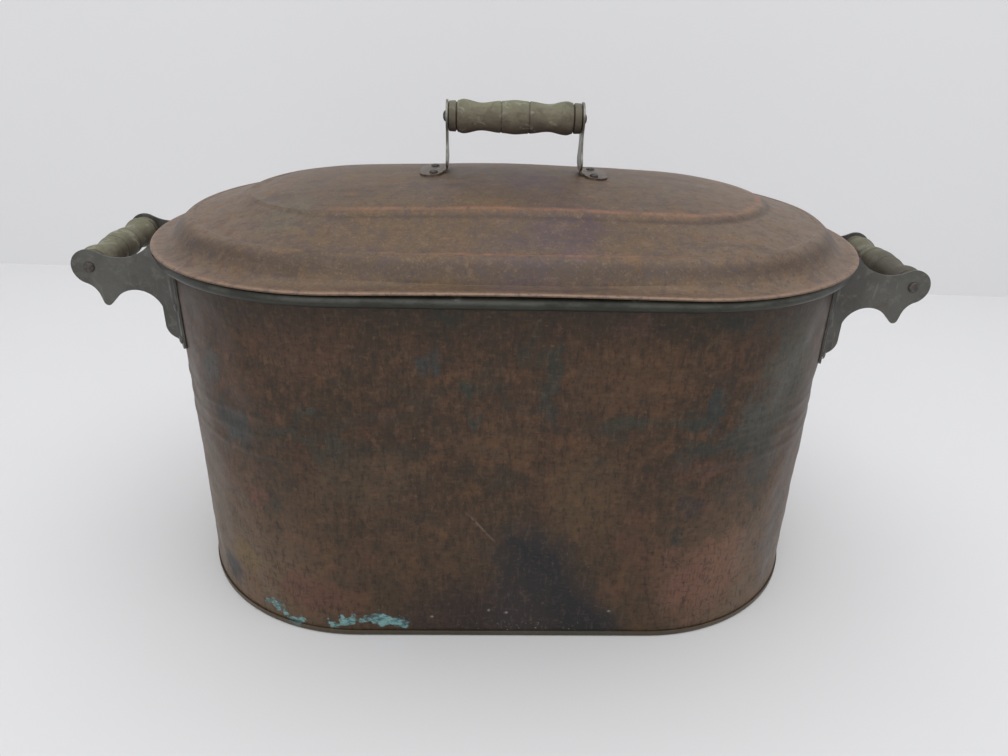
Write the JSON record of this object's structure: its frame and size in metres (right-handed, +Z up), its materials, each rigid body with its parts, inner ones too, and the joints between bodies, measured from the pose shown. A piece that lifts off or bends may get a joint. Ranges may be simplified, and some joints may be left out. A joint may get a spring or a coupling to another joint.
{
  "type": "copper wash boiler",
  "caption": "Oblong copper tub with a rolled iron rim, riveted end handles with turned wooden grips, and a lift-off stamped lid with a turned grip.",
  "frame": {"origin": "centre of the flat base, on the surface that the boiler stands on", "axes": "+Z up; +X along the length, from the left end handle to the right one; +Y away from the viewer, across the width"},
  "size_m": [0.7002, 0.3436, 0.4198],
  "materials": {
    "tub_copper": "dark tarnished copper",
    "lid_copper": "brown tarnished copper, brighter on the ridges",
    "dark_iron": "worn dark tinned iron sheet",
    "bare_steel": "dull bare steel",
    "grip_wood": "weathered dark stained turned wood"
  },
  "bodies": {
    "tub": {"body_front_sheet": "tub_copper", "body_back_sheet": "tub_copper", "base_pan": "tub_copper", "rim_band": "dark_iron", "rim_wire": "bare_steel", "left_front_ear": "dark_iron", "left_front_ear_rivet_1": "dark_iron", "left_front_ear_rivet_2": "dark_iron", "left_front_ear_rivet_3": "dark_iron", "left_rear_ear": "dark_iron", "left_rear_ear_rivet_1": "dark_iron", "left_rear_ear_rivet_2": "dark_iron", "left_rear_ear_rivet_3": "dark_iron", "left_grip_rod": "bare_steel", "right_front_ear": "dark_iron", "right_front_ear_rivet_1": "dark_iron", "right_front_ear_rivet_2": "dark_iron", "right_front_ear_rivet_3": "dark_iron", "right_rear_ear": "dark_iron", "right_rear_ear_rivet_1": "dark_iron", "right_rear_ear_rivet_2": "dark_iron", "right_rear_ear_rivet_3": "dark_iron", "right_grip_rod": "bare_steel"},
    "lid": {"lid_shell": "lid_copper", "lid_locating_flange": "lid_copper", "left_lid_strap": "bare_steel", "right_lid_strap": "bare_steel", "lid_strap_rivet_1": "bare_steel", "lid_strap_rivet_2": "bare_steel", "lid_strap_rivet_3": "bare_steel", "lid_strap_rivet_4": "bare_steel", "lid_grip_rod": "bare_steel"},
    "left_grip": {"left_grip": "grip_wood"},
    "right_grip": {"right_grip": "grip_wood"},
    "lid_grip": {"lid_grip": "grip_wood"}
  },
  "joints": [
    {"name": "lid_lift", "type": "slide", "parent": "tub", "child": "lid", "axis": [0, 0, 1], "range_m": [0, 0.12]},
    {"name": "left_grip_turn", "type": "hinge", "parent": "tub", "child": "left_grip", "pos_m": [-0.3358, 0, 0.2919], "axis": [0, 1, 0], "continuous": true},
    {"name": "right_grip_turn", "type": "hinge", "parent": "tub", "child": "right_grip", "pos_m": [0.3358, 0, 0.2865], "axis": [0, 1, 0], "continuous": true},
    {"name": "lid_grip_turn", "type": "hinge", "parent": "lid", "child": "lid_grip", "pos_m": [0.004, 0, 0.4063], "axis": [1, 0, 0], "continuous": true}
  ]
}
